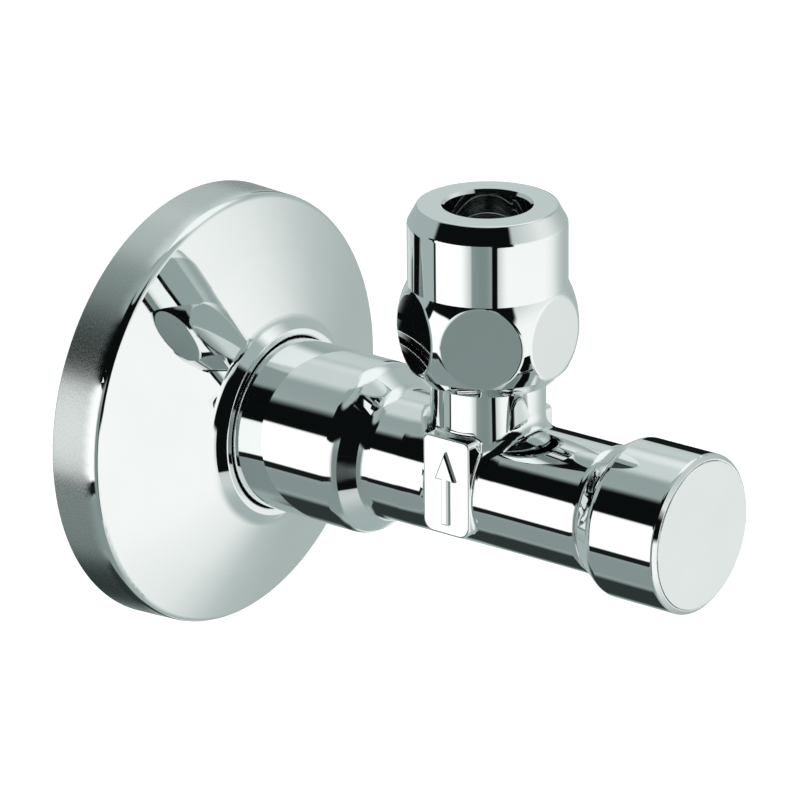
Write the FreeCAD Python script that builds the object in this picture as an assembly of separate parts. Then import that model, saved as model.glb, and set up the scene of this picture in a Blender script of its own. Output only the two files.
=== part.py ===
import FreeCAD, Part
import math
import os

from FreeCAD import Vector

# Chrome-plated angle stop valve with a wall escutcheon and a compression outlet for a 10 mm tube.
#
# Frame: the origin is the centre of the escutcheon's back, on the inlet axis, where the valve meets
# the wall. The inlet nipple runs into the wall along +Y, the handle points away from it along -Y, and
# the outlet points up along +Z. Lengths are millimetres.
#
# Parts turned about the inlet axis are drawn as (radius, out), where out is the distance from the
# wall towards the handle, so y = -out. Parts turned about the outlet axis are drawn as (radius, z).
# A third number at a corner is the radius that rounds it. Male threads are drawn as rings, one to
# each pitch, and the bores that they screw into are plain and clear of the rings.

# ---------------------------------------------------------------- driving dimensions
ESCUTCHEON_R = 27.0
ESCUTCHEON_RIM = 6.0
HUB_LIP = 14.25
HUB_BORE_R = 10.7
SHEET = 0.7
BARREL_R = 10.5
BARREL_END = 28.8
NECK_R = 7.9
BODY_R = 7.75
BODY_SHOULDER = 62.9
STUB_R = 7.2
BODY_END = 65.0
OUTLET_OUT = 44.5
SPIGOT_R = 6.8
PAD_WIDE = 6.7
KNOB_R = 9.55
KNOB_BACK = 63.2
KNOB_FACE = 75.3
CAP_R = 8.8
NUT_FLATS = 19.0
NUT_BALL_R = 10.68
NUT_BALL_Z = 19.4
NUT_COLLAR_R = 9.4
NUT_BOTTOM = 13.0
NUT_TOP = 34.0
NUT_TURN = 2.2
TUBE_R = 5.0

# threads: major radius, pitch, depth, half of the angle between the flanks in degrees
INLET_THREAD = (10.34, 1.814, 1.162, 27.5)
OUTLET_THREAD = (7.5, 1.0, 0.6, 30.0)
SPINDLE_THREAD = (3.0, 1.5, 0.6, 15.0)
THREAD_GAP = 0.12

# running and sliding gaps
STEM_GAP = 0.05
SLIDE_GAP = 0.08
SEAL_GAP = 0.02
REST_GAP = 0.05

# the inside, as distances out from the wall with the valve shut, and heights on the outlet axis
NIPPLE_END = -13.0
THREAD_END = -0.9
INLET_R = 6.2
SEAT = 37.0
SEAT_R = 3.8
CHAMBER_R = 5.9
BONNET_R = 6.15
BONNET_NOSE = 49.5
BONNET_STEP = 54.5
BONNET_SHOULDER = 63.0
BONNET_TOP = 68.4
PISTON_R = 4.22
PISTON_TOP = 57.0
PISTON_FLAT = 3.5
STEM_R = 2.9
SPINDLE_TIP = 50.3
SPINDLE_COLLAR = 60.8
SPINDLE_END = 71.4
SQUARE = 4.3
HANDLE_WEB = 71.6
SPIGOT_THREAD_LOW = 14.2
SPIGOT_TOP = 23.4
SOCKET_FLOOR = 15.5
SOCKET_MOUTH = 21.5
OLIVE_TOP = 26.4
NUT_SHOULDER = 27.7

PARTS = {}


# ---------------------------------------------------------------- drawing helpers
def outline(corners, place):
    """Closed wire through (u, v) or (u, v, rounding radius) corners; place maps (u, v) to a point."""
    leaves = []
    arrives = []
    edges = []
    for i, corner in enumerate(corners):
        here = Vector(corner[0], corner[1], 0)
        radius = corner[2] if len(corner) > 2 else 0
        if radius == 0:
            arrives.append(here)
            leaves.append(here)
            continue
        before = corners[i - 1]
        after = corners[(i + 1) % len(corners)]
        back = (Vector(before[0], before[1], 0) - here).normalize()
        ahead = (Vector(after[0], after[1], 0) - here).normalize()
        half_angle = back.getAngle(ahead) / 2
        centre = here + (back + ahead).normalize() * (radius / math.sin(half_angle))
        middle = centre + (here - centre).normalize() * radius
        arrives.append(here + back * (radius / math.tan(half_angle)))
        leaves.append(here + ahead * (radius / math.tan(half_angle)))
        points = [place(p.x, p.y) for p in (arrives[i], middle, leaves[i])]
        edges.append(Part.Arc(*points).toShape())
    for i, start in enumerate(leaves):
        end = arrives[(i + 1) % len(corners)]
        if (end - start).Length > 1e-6:
            edges.append(Part.LineSegment(place(start.x, start.y), place(end.x, end.y)).toShape())
    return Part.Wire(Part.__sortEdges__(edges))


def turned_about_inlet(corners):
    """Solid of revolution about the inlet axis from (radius, out) corners."""
    face = Part.Face(outline(corners, lambda r, out: Vector(r, -out, 0)))
    return face.revolve(Vector(0, 0, 0), Vector(0, 1, 0), 360)


def turned(corners):
    """Solid of revolution about Z from (radius, z) corners."""
    face = Part.Face(outline(corners, lambda r, z: Vector(r, 0, z)))
    return face.revolve(Vector(0, 0, 0), Vector(0, 0, 1), 360)


def inlet_rod(radius, start, end):
    """Cylinder on the inlet axis between two distances out."""
    return Part.makeCylinder(radius, end - start, Vector(0, -start, 0), Vector(0, -1, 0))


def double_flat(radius, half_flat, start, end):
    """Rod on the inlet axis with a flat above and a flat below."""
    flats = Part.makeBox(4 * radius, end - start, 2 * half_flat, Vector(-2 * radius, -end, -half_flat))
    return inlet_rod(radius, start, end).common(flats)


def hexagon(flats, low, high):
    """Hexagonal prism along Z on the origin, with two of its flats facing +Y and -Y."""
    corner_r = flats / math.sqrt(3)
    angles = [math.radians(60 * i) for i in range(7)]
    points = [Vector(corner_r * math.cos(a), corner_r * math.sin(a), low) for a in angles]
    return Part.Face(Part.makePolygon(points)).extrude(Vector(0, 0, high - low))


def along_inlet(shape):
    """Lays a shape drawn along +Z on the inlet axis, so that its z becomes the distance out."""
    return shape.rotated(Vector(0, 0, 0), Vector(1, 0, 0), 90)


def over_outlet(shape):
    """Carries a shape drawn about Z to the outlet axis."""
    return shape.translated(Vector(0, -OUTLET_OUT, 0))


def thread_rings(thread, low, high):
    """Corners of a thread drawn as rings between two places: its crests, with a root at both ends."""
    major, pitch, depth, half_angle = thread
    flank = depth * math.tan(math.radians(half_angle))
    crest = pitch - 2 * flank - pitch / 6
    corners = []
    for i in range(int((high - low) / pitch)):
        start = low + i * pitch + pitch / 12
        corners += [(major - depth, start), (major, start + flank)]
        corners += [(major, start + flank + crest), (major - depth, start + 2 * flank + crest)]
    return corners


def inlet_o_ring(inner_r, outer_r, out):
    """Rubber ring about the inlet axis, between two radii, centred at a distance out."""
    section_r = (outer_r - inner_r) / 2
    return Part.makeTorus(inner_r + section_r, section_r, Vector(0, -out, 0), Vector(0, 1, 0))


def keep(name, shape):
    """Stores one sub-part's solid under its node name."""
    PARTS[name] = shape.Solids[0] if len(shape.Solids) == 1 else Part.makeCompound(shape.Solids)


# ---------------------------------------------------------------- valve body
def flow_arrow(face_x):
    """Raised arrow on the +X pad, pointing to the outlet, with bevelled edges."""
    shaft, head, tail, neck, tip = 0.5, 1.45, -3.4, 2.2, 5.7
    sunk, raised, bevel = 0.2, 0.42, 0.2
    corners = [
        (-shaft, tail), (shaft, tail), (shaft, neck), (head, neck), (0, tip), (-head, neck), (-shaft, neck),
    ]
    points = [Vector(face_x - sunk, -OUTLET_OUT + u, v) for u, v in corners]
    arrow = Part.Face(Part.makePolygon(points + points[:1])).extrude(Vector(sunk + raised, 0, 0))
    top_edges = [e for e in arrow.Edges if e.BoundBox.XMin > face_x + raised - 0.01]
    return arrow.makeChamfer(bevel, top_edges)


def side_pad():
    """Flat boss on the +X side of the body, with rounded corners and a raised flow arrow."""
    face_x, deep, low, high = 8.25, 4.0, -4.7, 7.4
    lower_rounding, upper_rounding, rim_rounding = 1.5, 0.8, 0.25
    corner = Vector(face_x - deep, -OUTLET_OUT - PAD_WIDE / 2, low)
    pad = Part.makeBox(deep, PAD_WIDE, high - low, corner)
    lower = [e for e in pad.Edges if e.BoundBox.XLength > deep - 0.01 and e.BoundBox.ZMax < low + 0.01]
    pad = pad.makeFillet(lower_rounding, lower)
    upper = [e for e in pad.Edges if e.BoundBox.XLength > deep - 0.01 and e.BoundBox.ZMin > high - 0.01]
    pad = pad.makeFillet(upper_rounding, upper)
    rim = [e for e in pad.Edges if e.BoundBox.XMin > face_x - 0.01]
    return pad.makeFillet(rim_rounding, rim).fuse(flow_arrow(face_x))


def is_pad_seam(edge):
    """Is this one of the edges where an upright side of a pad meets the round body?"""
    middle = edge.valueAt((edge.FirstParameter + edge.LastParameter) / 2)
    beside_pad = abs(abs(middle.y + OUTLET_OUT) - PAD_WIDE / 2) < 0.05 and edge.BoundBox.YLength < 0.1
    on_body = BODY_R - 0.15 < math.hypot(middle.x, middle.z) < NECK_R + 0.12
    upright = edge.BoundBox.ZLength > 0.5 and edge.BoundBox.XLength > 0.005
    return beside_pad and on_body and upright and abs(middle.x) < NECK_R


def body_casting():
    """Outside of the one-piece body: nipple, barrel, shoulder, neck, outlet spigot and side pads."""
    root_r = INLET_THREAD[0] - INLET_THREAD[2]
    saddle_rounding, seam_rounding = 1.6, 0.45
    run = turned_about_inlet([
        (0, NIPPLE_END),
        (root_r - 0.5, NIPPLE_END),
        (root_r, NIPPLE_END + 0.5),
        *thread_rings(INLET_THREAD, NIPPLE_END + 0.6, THREAD_END),
        (root_r, 0.2),
        (BARREL_R, 1.0, 0.3),
        (BARREL_R, BARREL_END, 2.4),
        (NECK_R, BARREL_END + 3.0, 2.0),
        (NECK_R, OUTLET_OUT - 8.0),
        (BODY_R, OUTLET_OUT + 6.0),
        (BODY_R, BODY_SHOULDER, 0.9),
        (STUB_R, BODY_SHOULDER),
        (STUB_R, BODY_END, 0.3),
        (0, BODY_END),
    ])
    spigot = Part.makeCylinder(SPIGOT_R, SPIGOT_THREAD_LOW, Vector(0, -OUTLET_OUT, 0))
    joined = run.fuse(spigot).removeSplitter()
    saddle = [
        e for e in joined.Edges
        if e.BoundBox.XLength > 2 * SPIGOT_R - 0.1 and 3 < e.BoundBox.ZMin and 7 < e.BoundBox.ZMax < 9
    ]
    pad = side_pad()
    far_pad = pad.mirror(Vector(0, 0, 0), Vector(1, 0, 0))
    padded = joined.makeFillet(saddle_rounding, saddle).fuse([pad, far_pad])
    return padded.makeFillet(seam_rounding, [e for e in padded.Edges if is_pad_seam(e)])


def outlet_thread():
    """Threaded top of the spigot, drawn about Z."""
    root_r = OUTLET_THREAD[0] - OUTLET_THREAD[2]
    return turned([
        (0, SPIGOT_THREAD_LOW - 1),
        (SPIGOT_R - 1, SPIGOT_THREAD_LOW - 1),
        (SPIGOT_R - 1, SPIGOT_THREAD_LOW),
        (SPIGOT_R, SPIGOT_THREAD_LOW),
        *thread_rings(OUTLET_THREAD, SPIGOT_THREAD_LOW, SPIGOT_TOP - 0.2),
        (root_r, SPIGOT_TOP - 0.2),
        (root_r - 0.2, SPIGOT_TOP),
        (0, SPIGOT_TOP),
    ])


def valve_body():
    """Plated brass body with inlet thread, seat, chamber, outlet thread and tube socket."""
    waterway = turned_about_inlet([
        (0, NIPPLE_END - 1),
        (INLET_R + 1.4, NIPPLE_END - 1),
        (INLET_R, NIPPLE_END + 0.8),
        (INLET_R, 32.0),
        (SEAT_R, 33.6),
        (SEAT_R, SEAT, 0.3),
        (SEAT_R + 0.9, SEAT, 0.3),
        (SEAT_R + 0.9, SEAT - 1.0),
        (CHAMBER_R, SEAT - 1.0),
        (CHAMBER_R, BONNET_STEP - 0.3),
        (BONNET_R + 0.05, BONNET_STEP),
        (BONNET_R + 0.05, BODY_END + 1),
        (0, BODY_END + 1),
    ])
    socket_r = TUBE_R + 0.08
    outlet_way = turned([
        (0, 0),
        (4.0, 0),
        (4.0, SOCKET_FLOOR),
        (socket_r, SOCKET_FLOOR),
        (socket_r, SOCKET_MOUTH),
        (socket_r + 1.1, SPIGOT_TOP + 0.1),
        (0, SPIGOT_TOP + 0.1),
    ])
    body = body_casting().fuse(over_outlet(outlet_thread())).removeSplitter()
    keep("valve_body", body.cut([waterway, over_outlet(outlet_way)]))


# ---------------------------------------------------------------- wall escutcheon
def escutcheon():
    """Pressed sheet cover that slides on the barrel: plain rim, shallow cone, flared hub and lip."""
    edge_r = ESCUTCHEON_R - 0.3
    cone_r, cone_out = 20.0, 9.62
    flare_r, flare_out = 12.75, 12.92
    cone_rounding, flare_rounding, rim_rounding = 44.0, 2.0, 1.1
    lip_r = HUB_BORE_R + 0.85
    inner_lip = HUB_LIP - 1.8
    keep("escutcheon", turned_about_inlet([
        (ESCUTCHEON_R, 0, 0.15),
        (edge_r, ESCUTCHEON_RIM + 0.5, rim_rounding),
        (cone_r, cone_out, cone_rounding),
        (flare_r, flare_out, flare_rounding),
        (lip_r, HUB_LIP, 0.2),
        (HUB_BORE_R, HUB_LIP, 0.2),
        (HUB_BORE_R, inner_lip),
        (HUB_BORE_R + 0.8, inner_lip + 0.15),
        (cone_r - 0.2, cone_out - SHEET, cone_rounding),
        (edge_r - SHEET, ESCUTCHEON_RIM - 0.2, 0.5),
        (ESCUTCHEON_R - SHEET, 0, 0.15),
    ]))


def escutcheon_grip_ring():
    """Rubber ring inside the hub that holds the escutcheon where it is pushed along the barrel."""
    inner_r = BARREL_R + SEAL_GAP
    outer_r = 14.4
    keep("escutcheon_grip_ring", turned_about_inlet([
        (inner_r, 9.8, 0.15),
        (outer_r, 9.8, 0.2),
        (outer_r, 10.9, 0.2),
        (BARREL_R + 1.0, 12.1, 0.2),
        (inner_r, 12.1, 0.15),
    ]))


# ---------------------------------------------------------------- headwork
def headwork_bonnet():
    """Brass insert that closes the front of the body, guides the piston and carries the spindle."""
    nose_r = CHAMBER_R - 0.1
    groove_r = 4.95
    flange_top = BONNET_TOP - 1.0
    blank = turned_about_inlet([
        (0, BONNET_NOSE),
        (nose_r, BONNET_NOSE, 0.3),
        (nose_r, 51.3),
        (groove_r, 51.3),
        (groove_r, 52.7),
        (nose_r, 52.7),
        (nose_r, BONNET_STEP),
        (BONNET_R, BONNET_STEP + 0.3),
        (BONNET_R, flange_top),
        (4.6, flange_top),
        (4.6, BONNET_TOP, 0.3),
        (0, BONNET_TOP),
    ])
    flange = along_inlet(hexagon(13.0, BODY_END, flange_top))
    flange = flange.common(turned_about_inlet([
        (0, BODY_END - 0.1),
        (6.7, BODY_END - 0.1),
        (STUB_R, BODY_END + 0.4),
        (STUB_R, flange_top - 0.4),
        (6.7, flange_top + 0.1),
        (0, flange_top + 0.1),
    ]))
    bore_r = PISTON_R + SLIDE_GAP
    guide_end = 61.0
    bonnet = blank.fuse(flange).cut([
        inlet_rod(bore_r, BONNET_NOSE - 1, 55.6),
        double_flat(bore_r, PISTON_FLAT + SLIDE_GAP, 55.0, guide_end),
        inlet_rod(bore_r, SPINDLE_COLLAR - 0.2, BONNET_SHOULDER),
        inlet_rod(STEM_R + STEM_GAP, BONNET_SHOULDER - 1, BONNET_TOP + 1),
    ])
    keep("headwork_bonnet", bonnet)
    keep("bonnet_o_ring", inlet_o_ring(groove_r + 0.02, CHAMBER_R - SEAL_GAP, 52.0))


# ---------------------------------------------------------------- closing piston
def closing_piston():
    """Piston with the seat washer: its flats stop it turning, so the spindle draws it off the seat."""
    pocket_r = 4.7
    flange_r = 5.2
    groove_r = 3.62
    groove_low, groove_high = 50.2, 51.3
    flats_start = 51.7
    blank = turned_about_inlet([
        (0, SEAT + 2.1),
        (pocket_r, SEAT + 2.1),
        (pocket_r, SEAT + 1.0),
        (flange_r, SEAT + 1.0, 0.15),
        (flange_r, SEAT + 3.8, 0.3),
        (PISTON_R, SEAT + 4.6),
        (PISTON_R, groove_low),
        (groove_r, groove_low),
        (groove_r, groove_high),
        (PISTON_R, groove_high),
        (PISTON_R, PISTON_TOP, 0.2),
        (0, PISTON_TOP),
    ])
    flatted = double_flat(PISTON_R + 1, PISTON_FLAT, flats_start, PISTON_TOP + 1)
    trim = inlet_rod(PISTON_R + 1, flats_start, PISTON_TOP + 1).cut(flatted)
    bore_r = SPINDLE_THREAD[0] + THREAD_GAP
    hole = turned_about_inlet([
        (0, 45.5),
        (bore_r, 45.5, 0.3),
        (bore_r, PISTON_TOP - 0.3),
        (bore_r + 0.4, PISTON_TOP + 0.1),
        (0, PISTON_TOP + 0.1),
    ])
    screw_hole = inlet_rod(1.5, SEAT, 44.4)
    keep("closing_piston", blank.cut([trim, hole, screw_hole]))
    keep("piston_o_ring", inlet_o_ring(groove_r + 0.02, PISTON_R + SLIDE_GAP - SEAL_GAP, 50.75))


def seat_washer():
    """Rubber washer that closes the seat, and the screw that holds it in the piston's pocket."""
    keep("seat_washer", turned_about_inlet([
        (1.55, SEAT + REST_GAP, 0.1),
        (4.62, SEAT + REST_GAP, 0.25),
        (4.62, SEAT + 2.08, 0.1),
        (1.55, SEAT + 2.08, 0.1),
    ]))
    head = SEAT - 1.3
    screw = turned_about_inlet([
        (0, head),
        (2.5, head, 0.5),
        (2.5, SEAT + 0.02),
        (1.42, SEAT + 0.02),
        (1.42, 43.6, 0.3),
        (0, 43.6),
    ])
    slot = Part.makeBox(6, 0.7, 0.7, Vector(-3, -head - 0.7, -0.35))
    keep("washer_screw", screw.cut(slot))


# ---------------------------------------------------------------- spindle
def spindle():
    """Spindle that turns without rising: left-hand thread, thrust collar, sealed stem and square."""
    root_r = SPINDLE_THREAD[0] - SPINDLE_THREAD[2]
    collar_r = 3.9
    collar_end = SPINDLE_COLLAR + 1.5
    ring_starts = [64.2, 66.2]
    ring_width, ring_floor = 1.2, 2.2
    clip_start, clip_width, clip_floor = BONNET_TOP + 0.2, 0.55, 2.4
    corners = [
        (0, SPINDLE_TIP),
        (root_r - 0.3, SPINDLE_TIP),
        (root_r, SPINDLE_TIP + 0.3),
        *thread_rings(SPINDLE_THREAD, SPINDLE_TIP + 0.3, SPINDLE_COLLAR - 0.8),
        (root_r, SPINDLE_COLLAR),
        (collar_r, SPINDLE_COLLAR, 0.15),
        (collar_r, collar_end, 0.15),
        (STEM_R, collar_end),
    ]
    for start in ring_starts:
        corners += [(STEM_R, start), (ring_floor, start)]
        corners += [(ring_floor, start + ring_width), (STEM_R, start + ring_width)]
    corners += [
        (STEM_R, clip_start),
        (clip_floor, clip_start),
        (clip_floor, clip_start + clip_width),
        (STEM_R, clip_start + clip_width),
        (STEM_R, SPINDLE_END, 0.3),
        (0, SPINDLE_END),
    ]
    square_start = BONNET_TOP + 0.9
    square_length = SPINDLE_END - square_start + 0.1
    square_corner = Vector(-SQUARE / 2, -square_start - square_length, -SQUARE / 2)
    square = Part.makeBox(SQUARE, square_length, SQUARE, square_corner)
    corners_off = inlet_rod(STEM_R + 1, square_start, square_start + square_length).cut(square)
    screw_hole = inlet_rod(1.5, 65.6, SPINDLE_END + 1)
    keep("spindle", turned_about_inlet(corners).cut([corners_off, screw_hole]))
    for number, start in enumerate(ring_starts, 1):
        ring = inlet_o_ring(ring_floor + 0.01, STEM_R + STEM_GAP - SEAL_GAP, start + ring_width / 2)
        keep(f"spindle_o_ring_{number}", ring)


def spindle_rings():
    """Thrust washer behind the bonnet's shoulder, and the circlip in front of the bonnet."""
    keep("thrust_washer", turned_about_inlet([
        (STEM_R + 0.1, BONNET_SHOULDER - 0.65, 0.1),
        (3.95, BONNET_SHOULDER - 0.65, 0.1),
        (3.95, BONNET_SHOULDER - REST_GAP, 0.1),
        (STEM_R + 0.1, BONNET_SHOULDER - REST_GAP, 0.1),
    ]))
    start, end = BONNET_TOP + 0.25, BONNET_TOP + 0.7
    mouth = Part.makeBox(2.6, 2, 5, Vector(-1.3, -BONNET_TOP - 2, -5))
    keep("spindle_circlip", inlet_rod(3.7, start, end).cut([inlet_rod(2.42, start - 1, end + 1), mouth]))


# ---------------------------------------------------------------- handle
def handle_knob():
    """Round knob with a tapered back, a rim that frames its cap, and the square the spindle drives."""
    skirt_r = STUB_R + 0.2
    recess_r = CAP_R - 0.6
    knob = turned_about_inlet([
        (skirt_r, KNOB_BACK, 0.15),
        (BODY_R + 0.3, KNOB_BACK, 0.15),
        (KNOB_R, KNOB_BACK + 2.5, 1.6),
        (KNOB_R, KNOB_FACE - 0.6, 0.4),
        (CAP_R + 0.03, KNOB_FACE, 0.1),
        (CAP_R + 0.03, KNOB_FACE - 1.0),
        (recess_r, KNOB_FACE - 1.0),
        (recess_r, HANDLE_WEB),
        (0, HANDLE_WEB),
        (0, BONNET_TOP + 1.0),
        (4.3, BONNET_TOP + 1.0),
        (4.3, HANDLE_WEB - 1.4),
        (skirt_r, HANDLE_WEB - 1.4, 0.6),
    ])
    side = SQUARE + 0.06
    square = Part.makeBox(side, 6, side, Vector(-side / 2, -HANDLE_WEB - 2, -side / 2))
    keep("handle_knob", knob.cut(square))


def handle_cap():
    """Shallow cap that snaps into the knob and hides its screw."""
    skirt_r = CAP_R - 0.63
    keep("handle_cap", turned_about_inlet([
        (0, KNOB_FACE - 0.95),
        (skirt_r - 0.7, KNOB_FACE - 0.95),
        (skirt_r - 0.7, HANDLE_WEB + 0.6),
        (skirt_r, HANDLE_WEB + 0.6, 0.15),
        (skirt_r, KNOB_FACE - 0.98),
        (CAP_R, KNOB_FACE - 0.98),
        (CAP_R, KNOB_FACE, 0.08),
        (0, KNOB_FACE),
    ]))


def handle_screw():
    """Cross-head screw that holds the knob on the spindle."""
    seat = HANDLE_WEB + 0.02
    screw = turned_about_inlet([
        (0, 66.0),
        (1.1, 66.0),
        (1.42, 66.4),
        (1.42, seat),
        (2.9, seat),
        (2.9, seat + 1.2, 0.5),
        (0, seat + 1.5),
    ])
    arms = [
        Part.makeBox(wide, 1.2, tall, Vector(-wide / 2, -seat - 1.8, -tall / 2))
        for wide, tall in ((3.0, 0.7), (0.7, 3.0))
    ]
    keep("handle_screw", screw.cut(arms))


# ---------------------------------------------------------------- compression outlet
def compression_nut():
    """Union nut: plain collar above a ball with six round flats, threaded inside."""
    thread_r = OUTLET_THREAD[0] + THREAD_GAP
    chamfer_z = NUT_BALL_Z - 4.8
    flat_rounding = 0.8
    ball = Part.makeSphere(NUT_BALL_R, Vector(0, 0, NUT_BALL_Z))
    ball = ball.common(hexagon(NUT_FLATS, NUT_BALL_Z - NUT_BALL_R, NUT_BALL_Z + NUT_BALL_R))
    flat_rims = [e for e in ball.Edges if NUT_BALL_R / 2 < e.BoundBox.ZLength < NUT_BALL_R * 1.5]
    ball = ball.makeFillet(flat_rounding, flat_rims)
    ball = ball.common(turned([
        (0, NUT_BOTTOM),
        (thread_r + 0.4, NUT_BOTTOM, 0.1),
        (NUT_BALL_R - 1.1, chamfer_z),
        (NUT_BALL_R + 1, chamfer_z + 1.2),
        (NUT_BALL_R + 1, NUT_BALL_Z + 6),
        (0, NUT_BALL_Z + 6),
    ]))
    collar = turned([
        (0, NUT_BALL_Z + 3.0),
        (NUT_COLLAR_R, NUT_BALL_Z + 3.0),
        (NUT_COLLAR_R, NUT_TOP - 2.1, 0.8),
        (NUT_COLLAR_R - 1.15, NUT_TOP, 0.3),
        (0, NUT_TOP),
    ])
    bore_r = TUBE_R + 0.15
    inside = turned([
        (0, NUT_BOTTOM - 1),
        (thread_r, NUT_BOTTOM - 1),
        (thread_r, SPIGOT_TOP + 0.5),
        (6.7, SPIGOT_TOP + 0.8),
        (6.7, NUT_SHOULDER, 0.3),
        (bore_r, NUT_SHOULDER),
        (bore_r, NUT_TOP - 0.4),
        (bore_r + 0.3, NUT_TOP + 0.1),
        (bore_r + 0.3, NUT_TOP + 1),
        (0, NUT_TOP + 1),
    ])
    nut = ball.fuse(collar).cut(inside).rotated(Vector(0, 0, 0), Vector(0, 0, 1), NUT_TURN)
    keep("compression_nut", over_outlet(nut))


def compression_rings():
    """Soft brass ring that grips the tube, and the slip ring that the nut turns against."""
    bore_r = TUBE_R + 0.05
    cone_z = SOCKET_MOUTH + 0.5
    keep("compression_ring", over_outlet(turned([
        (bore_r, cone_z, 0.08),
        (bore_r + 0.25, cone_z, 0.08),
        (bore_r + 1.3, cone_z + 1.9, 0.3),
        (bore_r + 1.3, cone_z + 2.9, 0.3),
        (bore_r + 0.4, OLIVE_TOP, 0.1),
        (bore_r, OLIVE_TOP, 0.1),
    ])))
    keep("slip_ring", over_outlet(turned([
        (TUBE_R + 0.12, OLIVE_TOP + 0.05, 0.1),
        (6.5, OLIVE_TOP + 0.05, 0.1),
        (6.5, NUT_SHOULDER - 0.1, 0.1),
        (TUBE_R + 0.12, NUT_SHOULDER - 0.1, 0.1),
    ])))


def build():
    """Makes every sub-part and writes one file for each."""
    makers = (
        valve_body, escutcheon, escutcheon_grip_ring, headwork_bonnet, closing_piston, seat_washer,
        spindle, spindle_rings, handle_knob, handle_cap, handle_screw, compression_nut, compression_rings,
    )
    for make in makers:
        make()
    os.makedirs("parts", exist_ok=True)
    for name, shape in PARTS.items():
        shape.exportStep(f"parts/{name}.step")
        print(f"{name}: {len(shape.Solids)} solid, valid {shape.isValid()}, {shape.Volume:.1f} mm3")


build()
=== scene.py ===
"""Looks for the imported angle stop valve: chrome-plated brass with a wall escutcheon, in metres.

The frame is the part's own: +Y runs into the wall, the outlet stands up along +Z, and the handle
points out of the wall along -Y.
"""
import math

import bpy
from mathutils import Matrix, Vector

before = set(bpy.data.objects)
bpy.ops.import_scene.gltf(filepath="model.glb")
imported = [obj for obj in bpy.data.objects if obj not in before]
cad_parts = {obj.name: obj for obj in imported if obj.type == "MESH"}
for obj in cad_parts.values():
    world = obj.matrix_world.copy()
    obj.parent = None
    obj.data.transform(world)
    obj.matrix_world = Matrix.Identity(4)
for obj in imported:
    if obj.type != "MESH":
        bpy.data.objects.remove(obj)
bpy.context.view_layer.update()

MM = 0.001
OUTLET_OUT = 44.5 * MM


# ---------------------------------------------------------------- camera
CAMERA_AZIMUTH = -51.99
CAMERA_ELEVATION = 20.79
CAMERA_ROLL = -0.53
CAMERA_DISTANCE = 706.2 * MM
CAMERA_LENS = 268.9
AIM_OUT = 40.0 * MM
AIM_ACROSS = -6.786 * MM
AIM_UP = 8.167 * MM
CLIP_NEAR = 0.05
CLIP_FAR = 20.0


def make_camera():
    """Long lens on the handle's left, looking down on the valve."""
    azimuth = math.radians(CAMERA_AZIMUTH)
    elevation = math.radians(CAMERA_ELEVATION)
    roll = math.radians(CAMERA_ROLL)
    back = Vector((
        math.sin(azimuth) * math.cos(elevation),
        -math.cos(azimuth) * math.cos(elevation),
        math.sin(elevation),
    ))
    level = Vector((math.cos(azimuth), math.sin(azimuth), 0))
    up = back.cross(level)
    aim = Vector((0, -AIM_OUT, 0)) + level * AIM_ACROSS + up * AIM_UP
    across = level * math.cos(roll) + up * math.sin(roll)
    upright = up * math.cos(roll) - level * math.sin(roll)
    camera = bpy.data.objects.new("camera", bpy.data.cameras.new("camera"))
    bpy.context.scene.collection.objects.link(camera)
    turn = Matrix((across, upright, back)).transposed().to_4x4()
    camera.matrix_world = Matrix.Translation(aim + back * CAMERA_DISTANCE) @ turn
    camera.data.lens = CAMERA_LENS
    camera.data.clip_start = CLIP_NEAR
    camera.data.clip_end = CLIP_FAR
    bpy.context.scene.camera = camera


# ---------------------------------------------------------------- node helpers
def is_socket(value):
    """True for a node's socket, False for a plain number or colour."""
    return isinstance(value, bpy.types.NodeSocket)


def feed(tree, socket, value):
    """Links a socket to another socket, or sets it to a plain value."""
    if is_socket(value):
        tree.links.new(value, socket)
    else:
        socket.default_value = value


def calculate(tree, operation, first, second=None):
    """Math node on sockets or plain numbers; returns its output."""
    node = tree.nodes.new("ShaderNodeMath")
    node.operation = operation
    feed(tree, node.inputs[0], first)
    if second is not None:
        feed(tree, node.inputs[1], second)
    return node.outputs[0]


def ramp(tree, value, low, high, to_low=0.0, to_high=1.0):
    """Smooth step of a socket from one value at low to another at high."""
    node = tree.nodes.new("ShaderNodeMapRange")
    node.interpolation_type = "SMOOTHSTEP"
    tree.links.new(value, node.inputs["Value"])
    node.inputs["From Min"].default_value = low
    node.inputs["From Max"].default_value = high
    node.inputs["To Min"].default_value = to_low
    node.inputs["To Max"].default_value = to_high
    return node.outputs["Result"]


def blend_colours(tree, share, first, second):
    """First colour where share is 0 and second where it is 1; each is a socket or three numbers."""
    node = tree.nodes.new("ShaderNodeMix")
    node.data_type = "RGBA"
    tree.links.new(share, node.inputs["Factor"])
    inputs = [socket for socket in node.inputs if socket.type == "RGBA"]
    for socket, colour in zip(inputs, (first, second)):
        feed(tree, socket, colour if is_socket(colour) else (*colour, 1))
    return next(socket for socket in node.outputs if socket.type == "RGBA")


def blend_values(tree, share, first, second):
    """First value where share is 0 and second where it is 1; each is a socket or a number."""
    node = tree.nodes.new("ShaderNodeMix")
    tree.links.new(share, node.inputs["Factor"])
    inputs = [socket for socket in node.inputs if socket.type == "VALUE"]
    feed(tree, inputs[1], first)
    feed(tree, inputs[2], second)
    return node.outputs["Result"]


def noise(tree, vector, scale, detail=3.0):
    """Noise over a vector; scale is in cycles to the vector's unit."""
    node = tree.nodes.new("ShaderNodeTexNoise")
    tree.links.new(vector, node.inputs["Vector"])
    node.inputs["Scale"].default_value = scale
    node.inputs["Detail"].default_value = detail
    return node.outputs["Fac"]


def point_on_part(tree):
    """The shaded point in the part's own frame."""
    return tree.nodes.new("ShaderNodeTexCoord").outputs["Object"]


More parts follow.
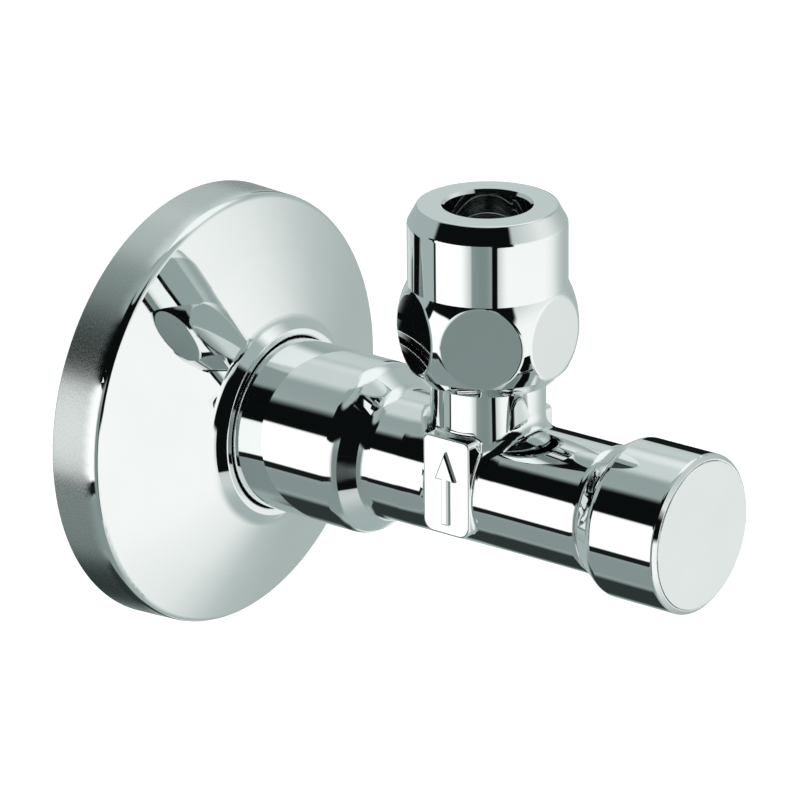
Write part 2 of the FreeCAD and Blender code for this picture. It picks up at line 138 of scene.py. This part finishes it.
def separate(tree, vector):
    """The x, y and z of a vector."""
    node = tree.nodes.new("ShaderNodeSeparateXYZ")
    tree.links.new(vector, node.inputs["Vector"])
    return node.outputs["X"], node.outputs["Y"], node.outputs["Z"]


def combine(tree, x, y, z):
    """Vector from three sockets or numbers."""
    node = tree.nodes.new("ShaderNodeCombineXYZ")
    for socket, value in zip(node.inputs, (x, y, z)):
        feed(tree, socket, value)
    return node.outputs["Vector"]


def distance(tree, first, second):
    """Length of a two-number vector, which is the distance from an axis."""
    squares = [calculate(tree, "POWER", value, 2) for value in (first, second)]
    return calculate(tree, "SQRT", calculate(tree, "ADD", *squares))


def set_surface(tree, shader, colour, roughness, height, depth):
    """Feeds the shader its colour, its roughness and the relief of a height socket, depth in metres."""
    bump = tree.nodes.new("ShaderNodeBump")
    bump.inputs["Strength"].default_value = 1.0
    bump.inputs["Distance"].default_value = depth
    tree.links.new(height, bump.inputs["Height"])
    tree.links.new(colour, shader.inputs["Base Color"])
    tree.links.new(roughness, shader.inputs["Roughness"])
    tree.links.new(bump.outputs["Normal"], shader.inputs["Normal"])


def start_material(name, metallic):
    """Empty node material; returns it with its tree and its shader."""
    material = bpy.data.materials.new(name)
    material.use_nodes = True
    tree = material.node_tree
    shader = tree.nodes["Principled BSDF"]
    shader.inputs["Metallic"].default_value = metallic
    return material, tree, shader


# ---------------------------------------------------------------- metal finishes
# Noise scales are in cycles to the metre, and each relief is the depth of its scratches or waves.
# Roughness runs from its first value to its second as the noise crosses the named band.
CHROME_DARK = (0.780, 0.805, 0.800)
CHROME_LIGHT = (0.815, 0.840, 0.835)
SATIN_DARK = (0.52, 0.55, 0.54)
SATIN_LIGHT = (0.66, 0.69, 0.68)
RAW_PLATE = (0.52, 0.54, 0.53)
NICKEL_DARK = (0.50, 0.53, 0.52)
NICKEL_LIGHT = (0.62, 0.65, 0.64)
BRASS_DARK = (0.62, 0.43, 0.18)
BRASS_LIGHT = (0.78, 0.58, 0.28)
STEEL_DARK = (0.46, 0.46, 0.45)
STEEL_LIGHT = (0.62, 0.62, 0.60)
MID_NOISE = (0.3, 0.7)
SMEAR_NOISE = (0.35, 0.75)
CHROME_ROUGHNESS = (0.012, 0.04)
SATIN_ROUGHNESS = (0.22, 0.32)
DULL_ROUGHNESS = (0.3, 0.5)
BRASS_ROUGHNESS = (0.22, 0.36)
NICKEL_ROUGHNESS = (0.24, 0.36)
STEEL_ROUGHNESS = (0.22, 0.38)
TINT_SCALE = 160
WAVE_SCALE = 140
SMEAR_SCALE = 420
STAIN_SCALE = 300
BRASS_STAIN_SCALE = 260
BRASS_RING_SCALE = 5200
NICKEL_RING_SCALE = 1500
STEEL_GRAIN_SCALE = 7000
BRUSH_SCALE = 9000
PLATE_RELIEF = 0.004 * MM
RIM_RELIEF = 0.003 * MM
BRASS_RELIEF = 0.006 * MM
NICKEL_RELIEF = 0.002 * MM
STEEL_RELIEF = 0.003 * MM

# where each finish of the body and of the escutcheon starts and ends, fading over a thin line
BARE_R = (6.9 * MM, 7.0 * MM)
BARE_THREAD = (-0.6 * MM, -0.2 * MM)
SATIN_R = (26.7 * MM, 26.8 * MM)
SATIN_EDGE = (-5.9 * MM, -5.6 * MM)
FACING_WALL = (0.05, 0.2)
BRUSH_STRETCH = 0.010
DRAWN_STRETCH = 0.08


def polished_chrome(tree, place):
    """Colour, roughness and height of bright plate: nearly even, with faint polishing waves."""
    colour = blend_colours(tree, noise(tree, place, TINT_SCALE), CHROME_DARK, CHROME_LIGHT)
    roughness = ramp(tree, noise(tree, place, SMEAR_SCALE, detail=5), *SMEAR_NOISE, *CHROME_ROUGHNESS)
    return colour, roughness, noise(tree, place, WAVE_SCALE, detail=1.5)


def turned_brass(tree, x, y, z):
    """Colour, roughness and height of machined brass with tool rings about the inlet axis."""
    rings = noise(tree, combine(tree, distance(tree, x, z), y, 0.0), BRASS_RING_SCALE, detail=2)
    stain = noise(tree, combine(tree, x, y, z), BRASS_STAIN_SCALE, detail=4)
    colour = blend_colours(tree, stain, BRASS_DARK, BRASS_LIGHT)
    roughness = ramp(tree, rings, *MID_NOISE, *BRASS_ROUGHNESS)
    return colour, roughness, rings


def chrome(name):
    """Polished chrome plate all over."""
    material, tree, shader = start_material(name, 1.0)
    colour, roughness, waves = polished_chrome(tree, point_on_part(tree))
    set_surface(tree, shader, colour, roughness, waves, PLATE_RELIEF)
    return material


def inside_body(tree, x, y, z):
    """1 in the body's waterway and on its inlet thread, which carry no plate."""
    waterway = ramp(tree, distance(tree, x, z), *BARE_R, to_low=1, to_high=0)
    thread = ramp(tree, y, *BARE_THREAD)
    return calculate(tree, "MAXIMUM", thread, waterway)


def body_chrome(name):
    """Chrome plate outside, bare machined brass inside and on the inlet thread."""
    material, tree, shader = start_material(name, 1.0)
    place = point_on_part(tree)
    x, y, z = separate(tree, place)
    bare = inside_body(tree, x, y, z)
    plate, plate_roughness, waves = polished_chrome(tree, place)
    metal, metal_roughness, rings = turned_brass(tree, x, y, z)
    colour = blend_colours(tree, bare, plate, metal)
    roughness = blend_values(tree, bare, plate_roughness, metal_roughness)
    set_surface(tree, shader, colour, roughness, blend_values(tree, bare, waves, rings), PLATE_RELIEF)
    return material


def escutcheon_chrome(name):
    """Bright face, satin rim brushed around its edge, and dull unpolished plate behind."""
    material, tree, shader = start_material(name, 1.0)
    place = point_on_part(tree)
    x, y, z = separate(tree, place)
    around = calculate(tree, "MULTIPLY", calculate(tree, "ARCTAN2", z, x), BRUSH_STRETCH)
    brushed = noise(tree, combine(tree, around, y, 0.0), BRUSH_SCALE, detail=2)
    rim = ramp(tree, distance(tree, x, z), *SATIN_R)
    satin = calculate(tree, "MULTIPLY", rim, ramp(tree, y, *SATIN_EDGE))
    facing = separate(tree, tree.nodes.new("ShaderNodeNewGeometry").outputs["Normal"])
    behind = ramp(tree, facing[1], *FACING_WALL)
    plate, plate_roughness, waves = polished_chrome(tree, place)
    stain = noise(tree, place, STAIN_SCALE, detail=4)
    dull = blend_colours(tree, stain, RAW_PLATE, CHROME_DARK)
    front = blend_colours(tree, satin, plate, blend_colours(tree, brushed, SATIN_DARK, SATIN_LIGHT))
    dull_roughness = ramp(tree, stain, *MID_NOISE, *DULL_ROUGHNESS)
    satin_roughness = ramp(tree, brushed, *MID_NOISE, *SATIN_ROUGHNESS)
    front_roughness = blend_values(tree, satin, plate_roughness, satin_roughness)
    set_surface(
        tree, shader,
        blend_colours(tree, behind, front, dull),
        blend_values(tree, behind, front_roughness, dull_roughness),
        blend_values(tree, satin, waves, brushed),
        RIM_RELIEF,
    )
    return material


def brass(name):
    """Bare brass turned about the inlet axis."""
    material, tree, shader = start_material(name, 1.0)
    colour, roughness, rings = turned_brass(tree, *separate(tree, point_on_part(tree)))
    set_surface(tree, shader, colour, roughness, rings, BRASS_RELIEF)
    return material


def nickel(name):
    """Dull nickel plate with tool rings about the outlet axis."""
    material, tree, shader = start_material(name, 1.0)
    place = point_on_part(tree)
    x, y, z = separate(tree, place)
    radius = distance(tree, x, calculate(tree, "ADD", y, OUTLET_OUT))
    rings = noise(tree, combine(tree, radius, z, 0.0), NICKEL_RING_SCALE, detail=2)
    colour = blend_colours(tree, noise(tree, place, STAIN_SCALE, detail=4), NICKEL_DARK, NICKEL_LIGHT)
    roughness = ramp(tree, rings, *MID_NOISE, *NICKEL_ROUGHNESS)
    set_surface(tree, shader, colour, roughness, rings, NICKEL_RELIEF)
    return material


def steel(name):
    """Stainless steel with a fine drawn grain."""
    material, tree, shader = start_material(name, 1.0)
    x, y, z = separate(tree, point_on_part(tree))
    drawn = combine(tree, x, calculate(tree, "MULTIPLY", y, DRAWN_STRETCH), z)
    grain = noise(tree, drawn, STEEL_GRAIN_SCALE, detail=2)
    colour = blend_colours(tree, grain, STEEL_DARK, STEEL_LIGHT)
    roughness = ramp(tree, grain, *MID_NOISE, *STEEL_ROUGHNESS)
    set_surface(tree, shader, colour, roughness, grain, STEEL_RELIEF)
    return material


# ---------------------------------------------------------------- soft finishes
RUBBER_DARK = (0.014, 0.014, 0.015)
RUBBER_LIGHT = (0.036, 0.036, 0.037)
PLASTIC_DARK = (0.76, 0.73, 0.65)
PLASTIC_LIGHT = (0.85, 0.83, 0.77)
RUBBER_ROUGHNESS = (0.48, 0.66)
PLASTIC_ROUGHNESS = (0.36, 0.48)
RUBBER_BLOOM_SCALE = 700
RUBBER_GRAIN_SCALE = 9000
PLASTIC_CLOUD_SCALE = 500
PLASTIC_GRAIN_SCALE = 6000
MOULDED_RELIEF = 0.01 * MM


def rubber(name):
    """Black moulded rubber with a faint bloom."""
    material, tree, shader = start_material(name, 0.0)
    place = point_on_part(tree)
    bloom = noise(tree, place, RUBBER_BLOOM_SCALE, detail=5)
    grain = noise(tree, place, RUBBER_GRAIN_SCALE)
    colour = blend_colours(tree, bloom, RUBBER_DARK, RUBBER_LIGHT)
    roughness = ramp(tree, bloom, *MID_NOISE, *RUBBER_ROUGHNESS)
    set_surface(tree, shader, colour, roughness, grain, MOULDED_RELIEF)
    return material


def plastic(name):
    """Natural white low-friction plastic with a moulded grain."""
    material, tree, shader = start_material(name, 0.0)
    place = point_on_part(tree)
    cloud = noise(tree, place, PLASTIC_CLOUD_SCALE, detail=4)
    grain = noise(tree, place, PLASTIC_GRAIN_SCALE)
    colour = blend_colours(tree, cloud, PLASTIC_DARK, PLASTIC_LIGHT)
    roughness = ramp(tree, cloud, *MID_NOISE, *PLASTIC_ROUGHNESS)
    set_surface(tree, shader, colour, roughness, grain, MOULDED_RELIEF)
    return material


def paint_nodes():
    """Gives every CAD node the finish of the real sub-part."""
    finishes = [
        (body_chrome("body_plate"), ["valve_body"]),
        (escutcheon_chrome("escutcheon_plate"), ["escutcheon"]),
        (chrome("bright_plate"), ["handle_knob", "handle_cap", "compression_nut"]),
        (nickel("nickel_plate"), ["compression_ring", "slip_ring"]),
        (brass("turned_brass"), ["headwork_bonnet", "closing_piston", "spindle"]),
        (steel("stainless_steel"), ["washer_screw", "spindle_circlip", "handle_screw"]),
        (plastic("slip_plastic"), ["thrust_washer"]),
        (rubber("black_rubber"), [
            "escutcheon_grip_ring", "bonnet_o_ring", "piston_o_ring", "seat_washer",
            "spindle_o_ring_1", "spindle_o_ring_2",
        ]),
    ]
    for material, names in finishes:
        for name in names:
            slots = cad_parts[name].data.materials
            slots.clear()
            slots.append(material)


# ---------------------------------------------------------------- studio
# The light tent shows only in reflections and in what it lights. Each panel is azimuth, elevation,
# half width, half height and soft edge in degrees, then its colour. Azimuth 0 looks into the wall,
# 90 to the valve's right and 180 out along the handle. Later panels hang in front of earlier ones.
TENT = (0.42, 0.50, 0.49)
FLAG_BLACK = (0.004, 0.005, 0.005)
PANELS = {
    "ceiling_grey": (-30, 65, 45, 25, 25, (0.34, 0.41, 0.40)),
    "ceiling_pale": (32, 62, 35, 22, 20, (0.70, 0.77, 0.76)),
    "ceiling_white": (92, 68, 55, 26, 20, (1.08, 1.12, 1.11)),
    "back_pale": (54, 22, 16, 14, 10, (0.64, 0.72, 0.71)),
    "right_pale": (98, -14, 42, 34, 26, (0.46, 0.53, 0.52)),
    "front_soft": (154, -16, 42, 40, 56, (0.86, 0.90, 0.89)),
    "front_white": (178, -14, 50, 40, 44, (1.12, 1.13, 1.12)),
    "floor_grey": (-75, -55, 55, 24, 12, (0.28, 0.34, 0.335)),
    "floor_dark": (18, -57, 33, 19, 16, (0.03, 0.04, 0.04)),
    "floor_line": (59, -44, 4, 20, 5, (0.85, 0.88, 0.87)),
    "side_frame": (-73, -5, 29, 27, 1.5, (0.010, 0.012, 0.012)),
    "side_white": (-76, -4.5, 28, 21, 2, (1.30, 1.32, 1.31)),
    "left_grey": (-120, -12, 20, 30, 36, (0.24, 0.30, 0.29)),
    "black_flag": (-103, 38, 62, 21, 7, FLAG_BLACK),
    "black_strip": (-148, 13, 16, 19, 6, FLAG_BLACK),
    "black_stripe": (-137, -22, 4, 20, 2, FLAG_BLACK),
    "black_notch": (-41, 12, 5, 9, 3, FLAG_BLACK),
    "edge_post": (57.5, -5, 2.5, 19, 1.5, (0.008, 0.010, 0.010)),
}
FLOOR_LEVEL = -1.2
FLOOR_HALF = 6.0
FLOOR_PAINT = (0.9, 0.9, 0.9, 1)
FLOOR_ROUGHNESS = 0.9
FLOOR_GLOW = 0.7
WHITE = (1, 1, 1, 1)


def panel_mask(tree, angle, half, edge):
    """1 within half of angle 0, falling to 0 across an edge of that width; all but angle in degrees."""
    away = calculate(tree, "ABSOLUTE", angle)
    inner, outer = math.radians(half - edge / 2), math.radians(half + edge / 2)
    return ramp(tree, away, inner, outer, to_low=1, to_high=0)


def make_studio():
    """Light tent around the valve, plain white where the camera looks straight at it."""
    world = bpy.data.worlds.new("studio")
    bpy.context.scene.world = world
    world.use_nodes = True
    tree = world.node_tree
    direction = tree.nodes.new("ShaderNodeTexCoord").outputs["Generated"]
    colour = TENT
    for azimuth, elevation, half_width, half_height, edge, paint in PANELS.values():
        turn = tree.nodes.new("ShaderNodeVectorRotate")
        turn.rotation_type = "Z_AXIS"
        turn.inputs["Angle"].default_value = math.radians(azimuth)
        tree.links.new(direction, turn.inputs["Vector"])
        x, y, z = separate(tree, turn.outputs["Vector"])
        across = calculate(tree, "ARCTAN2", x, y)
        height = calculate(tree, "ARCSINE", z)
        height = calculate(tree, "SUBTRACT", height, math.radians(elevation))
        mask = calculate(
            tree, "MULTIPLY",
            panel_mask(tree, across, half_width, edge),
            panel_mask(tree, height, half_height, edge),
        )
        colour = blend_colours(tree, mask, colour, paint)
    tent = tree.nodes["Background"]
    tree.links.new(colour, tent.inputs["Color"])
    outside = tree.nodes.new("ShaderNodeBackground")
    outside.inputs["Color"].default_value = WHITE
    choose = tree.nodes.new("ShaderNodeMixShader")
    tree.links.new(tree.nodes.new("ShaderNodeLightPath").outputs["Is Camera Ray"], choose.inputs["Fac"])
    tree.links.new(tent.outputs["Background"], choose.inputs[1])
    tree.links.new(outside.outputs["Background"], choose.inputs[2])
    tree.links.new(choose.outputs["Shader"], tree.nodes["World Output"].inputs["Surface"])


def make_floor():
    """Plain pale floor far under the valve, which hangs on its wall fitting."""
    mesh = bpy.data.meshes.new("floor")
    half, level = FLOOR_HALF, FLOOR_LEVEL
    corners = [(-half, -half, level), (half, -half, level), (half, half, level), (-half, half, level)]
    mesh.from_pydata(corners, [], [(0, 1, 2, 3)])
    floor = bpy.data.objects.new("floor", mesh)
    bpy.context.scene.collection.objects.link(floor)
    floor.visible_glossy = False
    material, _, shader = start_material("floor_white", 0.0)
    shader.inputs["Base Color"].default_value = FLOOR_PAINT
    shader.inputs["Roughness"].default_value = FLOOR_ROUGHNESS
    shader.inputs["Emission Color"].default_value = WHITE
    shader.inputs["Emission Strength"].default_value = FLOOR_GLOW
    mesh.materials.append(material)


make_camera()
paint_nodes()
make_studio()
make_floor()
bpy.context.scene.view_settings.view_transform = "Standard"
